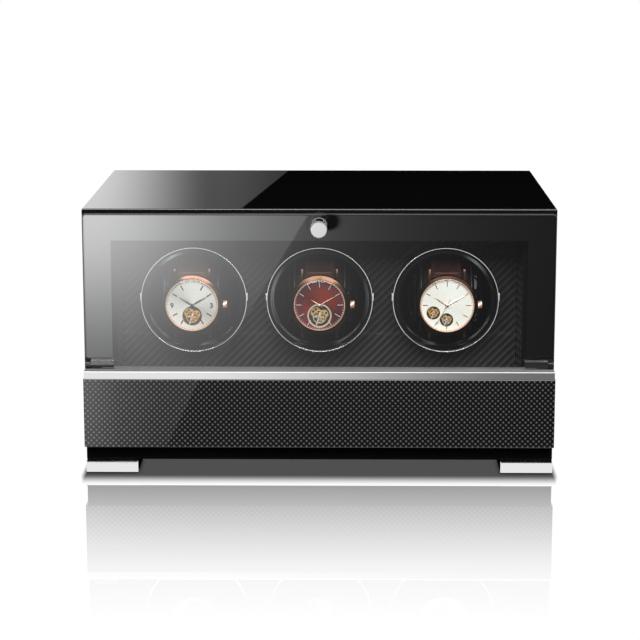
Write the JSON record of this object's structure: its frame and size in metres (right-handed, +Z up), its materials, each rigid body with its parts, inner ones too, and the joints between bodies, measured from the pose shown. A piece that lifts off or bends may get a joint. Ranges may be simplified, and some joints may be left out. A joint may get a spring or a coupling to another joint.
{
  "type": "watch winder box",
  "caption": "Glossy black watch winder box with a drop-down glass door, motor-driven turntables holding watches on cushions, a carbon-fibre storage drawer and chrome feet.",
  "frame": {"origin": "under the middle of the bounding box, on the surface that the rubber foot pads rest on", "axes": "+X across the width to the viewer's right, -Y out of the glass door, +Z up"},
  "size_m": [0.34, 0.253, 0.1945],
  "materials": {
    "lacquer": "black high-gloss piano lacquer",
    "carbon_fascia": "carbon-fibre twill under clear lacquer",
    "carbon_front": "plain-weave carbon fibre under clear lacquer",
    "rear_board": "black satin board",
    "chrome": "polished chrome plate",
    "screw_steel": "black oxide",
    "rubber": "soft black rubber",
    "glass": "clear tempered glass with polished edges",
    "cup_plastic": "glossy black moulding",
    "cushion_skin": "soft black artificial leather",
    "strap_leather": "dark brown stitched leather",
    "rose_gold": "polished rose gold",
    "sheet_steel": "zinc plated sheet",
    "motor_steel": "drawn steel can",
    "nylon": "natural nylon",
    "board": "green circuit board",
    "black_plastic": "black moulding",
    "lining": "charcoal velvet lining",
    "tray": "black laminated board",
    "lamp": "white diffuser"
  },
  "bodies": {
    "cabinet": {"top_panel": "lacquer", "side_panel_left": "lacquer", "side_panel_right": "lacquer", "bottom_panel": "lacquer", "shelf_panel": "lacquer", "rear_panel": "rear_board", "face_frame": "lacquer", "foot_front_left": "chrome", "foot_front_right": "chrome", "foot_back_left": "chrome", "foot_back_right": "chrome", "foot_pads": "rubber", "winder_fascia": "carbon_fascia", "motor_plate": "sheet_steel", "rotor_axles": "screw_steel", "drive_belts": "rubber", "control_board": "board", "dc_jack": "black_plastic", "switch_body": "black_plastic", "light_bar": "lamp", "door_pivot_ears": "chrome", "hinge_pins": "chrome", "door_magnet": "chrome", "drawer_runners_fixed": "sheet_steel", "rear_panel_screws": "screw_steel", "bezel_ring_left": "chrome", "motor_left": "motor_steel", "bezel_ring_center": "chrome", "motor_center": "motor_steel", "bezel_ring_right": "chrome", "motor_right": "motor_steel"},
    "door": {"door_glass": "glass", "hinge_shoes": "chrome", "door_knob": "chrome", "knob_backplate": "chrome"},
    "drawer": {"drawer_front": "carbon_front", "drawer_pull": "chrome", "drawer_box": "tray", "drawer_lining": "lining", "drawer_runners_moving": "sheet_steel"},
    "rocker": {"power_rocker": "black_plastic"},
    "rotor_left": {"rotor_cup_left": "cup_plastic", "watch_cushion_left": "cushion_skin", "watch_strap_left": "strap_leather", "watch_case_left": "rose_gold"},
    "motor_shaft_left": {"motor_pulley_left": "nylon"},
    "selector_left": {"selector_knob_left": "black_plastic"},
    "rotor_center": {"rotor_cup_center": "cup_plastic", "watch_cushion_center": "cushion_skin", "watch_strap_center": "strap_leather", "watch_case_center": "rose_gold"},
    "motor_shaft_center": {"motor_pulley_center": "nylon"},
    "selector_center": {"selector_knob_center": "black_plastic"},
    "rotor_right": {"rotor_cup_right": "cup_plastic", "watch_cushion_right": "cushion_skin", "watch_strap_right": "strap_leather", "watch_case_right": "rose_gold"},
    "motor_shaft_right": {"motor_pulley_right": "nylon"},
    "selector_right": {"selector_knob_right": "black_plastic"}
  },
  "joints": [
    {"name": "door_hinge", "type": "hinge", "parent": "cabinet", "child": "door", "pos_m": [0, -0.1028, 0.0815], "axis": [1, 0, 0], "range_deg": [0, 90]},
    {"name": "drawer_slide", "type": "slide", "parent": "cabinet", "child": "drawer", "axis": [0, -1, 0], "range_m": [0, 0.125]},
    {"name": "power_rocker_tilt", "type": "hinge", "parent": "cabinet", "child": "rocker", "pos_m": [-0.1, 0.1155, 0.121], "axis": [1, 0, 0], "range_deg": [0, 16]},
    {"name": "rotor_left_spin", "type": "hinge", "parent": "cabinet", "child": "rotor_left", "pos_m": [-0.093, -0.0415, 0.1212], "axis": [0, 1, 0], "continuous": true},
    {"name": "motor_left_spin", "type": "hinge", "parent": "cabinet", "child": "motor_shaft_left", "pos_m": [-0.093, 0.0205, 0.1652], "axis": [0, 1, 0], "continuous": true},
    {"name": "selector_left_turn", "type": "hinge", "parent": "cabinet", "child": "selector_left", "pos_m": [-0.04, 0.1225, 0.121], "axis": [0, 1, 0], "range_deg": [-135, 135]},
    {"name": "rotor_center_spin", "type": "hinge", "parent": "cabinet", "child": "rotor_center", "pos_m": [0, -0.0415, 0.1212], "axis": [0, 1, 0], "continuous": true},
    {"name": "motor_center_spin", "type": "hinge", "parent": "cabinet", "child": "motor_shaft_center", "pos_m": [0, 0.0205, 0.1652], "axis": [0, 1, 0], "continuous": true},
    {"name": "selector_center_turn", "type": "hinge", "parent": "cabinet", "child": "selector_center", "pos_m": [0, 0.1225, 0.121], "axis": [0, 1, 0], "range_deg": [-135, 135]},
    {"name": "rotor_right_spin", "type": "hinge", "parent": "cabinet", "child": "rotor_right", "pos_m": [0.093, -0.0415, 0.1212], "axis": [0, 1, 0], "continuous": true},
    {"name": "motor_right_spin", "type": "hinge", "parent": "cabinet", "child": "motor_shaft_right", "pos_m": [0.093, 0.0205, 0.1652], "axis": [0, 1, 0], "continuous": true},
    {"name": "selector_right_turn", "type": "hinge", "parent": "cabinet", "child": "selector_right", "pos_m": [0.04, 0.1225, 0.121], "axis": [0, 1, 0], "range_deg": [-135, 135]}
  ],
  "couplings": [
    {"joint": "motor_left_spin", "follows": "rotor_left_spin", "ratio": 4.8},
    {"joint": "motor_center_spin", "follows": "rotor_center_spin", "ratio": 4.8},
    {"joint": "motor_right_spin", "follows": "rotor_right_spin", "ratio": 4.8}
  ]
}
